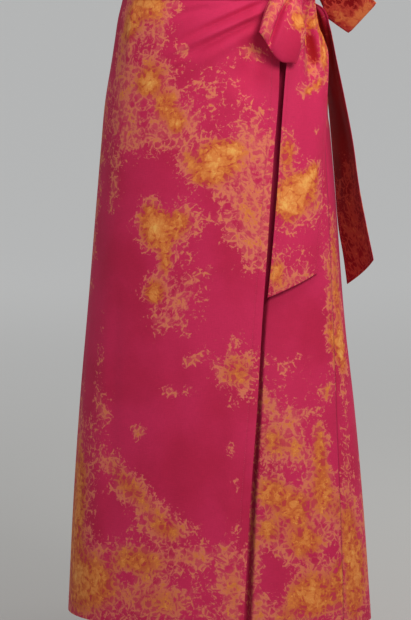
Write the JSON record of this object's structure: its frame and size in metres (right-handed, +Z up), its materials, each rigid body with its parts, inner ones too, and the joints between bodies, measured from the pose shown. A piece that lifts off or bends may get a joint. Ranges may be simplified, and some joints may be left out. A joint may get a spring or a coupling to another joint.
{
  "type": "wrap skirt",
  "caption": "Long A-line wrap skirt, worn: panels lap at the front, held by a waistband whose ties make a bow at the left hip.",
  "frame": {"origin": "centre of the waist opening, half way up the waistband", "axes": "+Z up, -Y to the front, +X to the wearer's left"},
  "size_m": [0.4873, 0.3531, 1.002],
  "materials": {
    "skirt_cloth": "printed plain weave, soft drape",
    "band_cloth": "printed plain weave, folded double",
    "tie_cloth": "printed plain weave, hemmed",
    "tie_reverse": "reverse of the printed plain weave"
  },
  "bodies": {
    "root": {"back_panel": "skirt_cloth", "front_overlap": "skirt_cloth", "front_underlap": "skirt_cloth", "waistband_back": "band_cloth", "waistband_overlap": "band_cloth", "waistband_underlap": "band_cloth", "bow_knot": "tie_cloth", "tie_root_front": "tie_cloth", "tie_root_side": "tie_cloth", "bow_loop_front": "tie_cloth", "bow_loop_side": "tie_reverse", "tie_tail_front": "tie_cloth", "tie_tail_side": "tie_reverse"}
  },
  "joints": []
}
